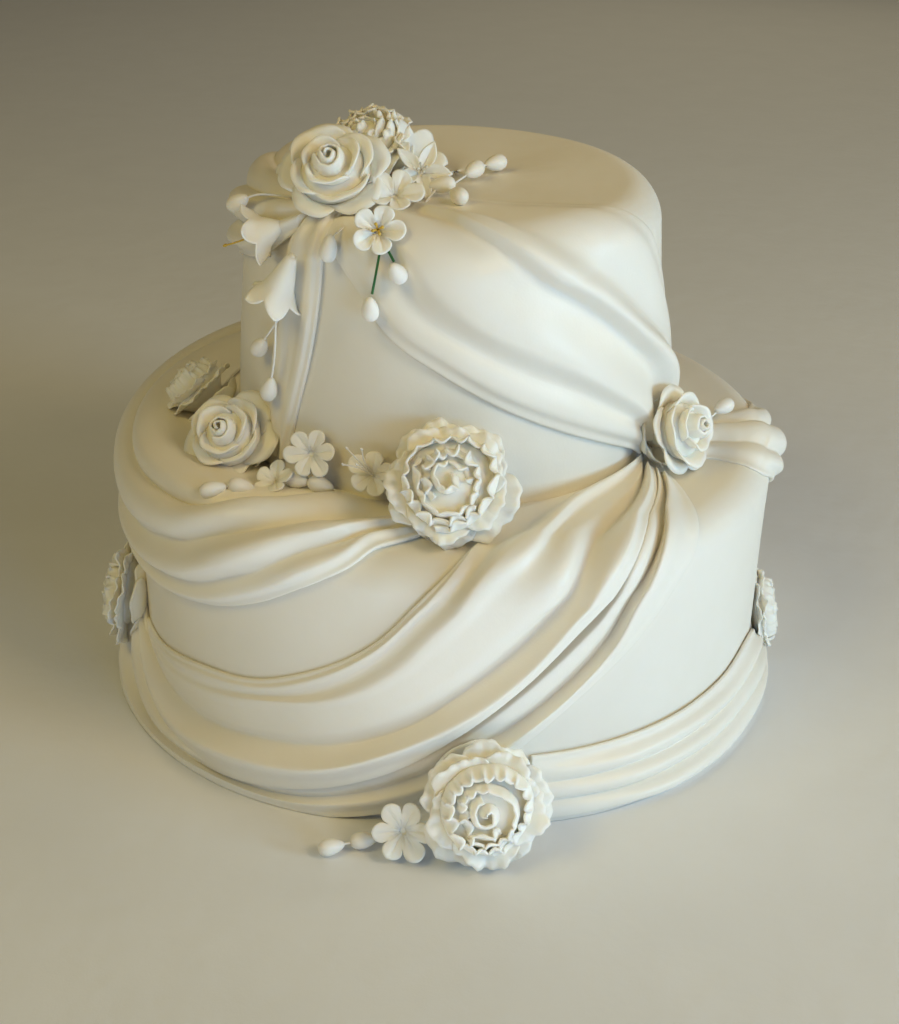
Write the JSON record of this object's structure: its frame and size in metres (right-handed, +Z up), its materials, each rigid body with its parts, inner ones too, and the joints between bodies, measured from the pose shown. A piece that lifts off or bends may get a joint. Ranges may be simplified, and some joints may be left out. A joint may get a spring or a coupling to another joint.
{
  "type": "tiered wedding cake",
  "caption": "Round tiered wedding cake in smooth ivory icing, with draped icing swags, sugar roses, small blossoms and buds on wires.",
  "frame": {"origin": "centre of the lower tier's flat underside, on the surface that the cake stands on", "axes": "+Z up, front of the cake towards -Y, +X to the right as the front is seen"},
  "size_m": [0.3366, 0.3753, 0.2793],
  "materials": {
    "tier_icing": "smooth rolled sugar icing, satin",
    "swag_icing": "smooth draped sugar icing, satin",
    "petal_icing": "thin sugar petals, matte",
    "bud_icing": "smooth sugar buds, satin",
    "green_wire": "green paper-wrapped wire"
  },
  "bodies": {
    "root": {"lower_tier": "tier_icing", "upper_tier": "tier_icing", "crown_swag": "swag_icing", "rear_swag": "swag_icing", "hanging_tail": "swag_icing", "main_swag": "swag_icing", "under_swag": "swag_icing", "shoulder_swag": "swag_icing", "side_swag": "swag_icing", "foot_swag_front": "swag_icing", "foot_swag_right": "swag_icing", "foot_swag_left": "swag_icing", "cluster_rose": "petal_icing", "cluster_ruffled_rose": "petal_icing", "front_rose": "petal_icing", "gather_rose": "petal_icing", "ledge_rose": "petal_icing", "ledge_ruffled_rose": "petal_icing", "foot_rose": "petal_icing", "left_base_rose": "petal_icing", "right_base_rose": "petal_icing", "back_ledge_rose": "petal_icing", "back_base_rose": "petal_icing", "cluster_ribbed_blossom": "petal_icing", "cluster_star_blossom": "petal_icing", "cluster_cup_blossom": "petal_icing", "cluster_side_blossom": "petal_icing", "ledge_open_blossom": "petal_icing", "ledge_side_blossom": "petal_icing", "ledge_low_blossom": "petal_icing", "foot_blossom": "petal_icing", "cluster_lily": "petal_icing", "cluster_side_trumpet": "petal_icing", "cluster_hanging_trumpet": "petal_icing", "left_bud": "bud_icing", "chin_bud": "bud_icing", "top_far_spray": "bud_icing", "top_near_spray": "bud_icing", "hanging_bud_left": "bud_icing", "hanging_bud_long": "bud_icing", "ledge_left_spray": "bud_icing", "ledge_right_spray": "bud_icing", "gather_spray": "bud_icing", "foot_spray": "bud_icing", "wired_bud_long": "bud_icing", "wired_bud_short": "bud_icing", "green_wire_long": "green_wire", "green_wire_short": "green_wire"}
  },
  "joints": []
}
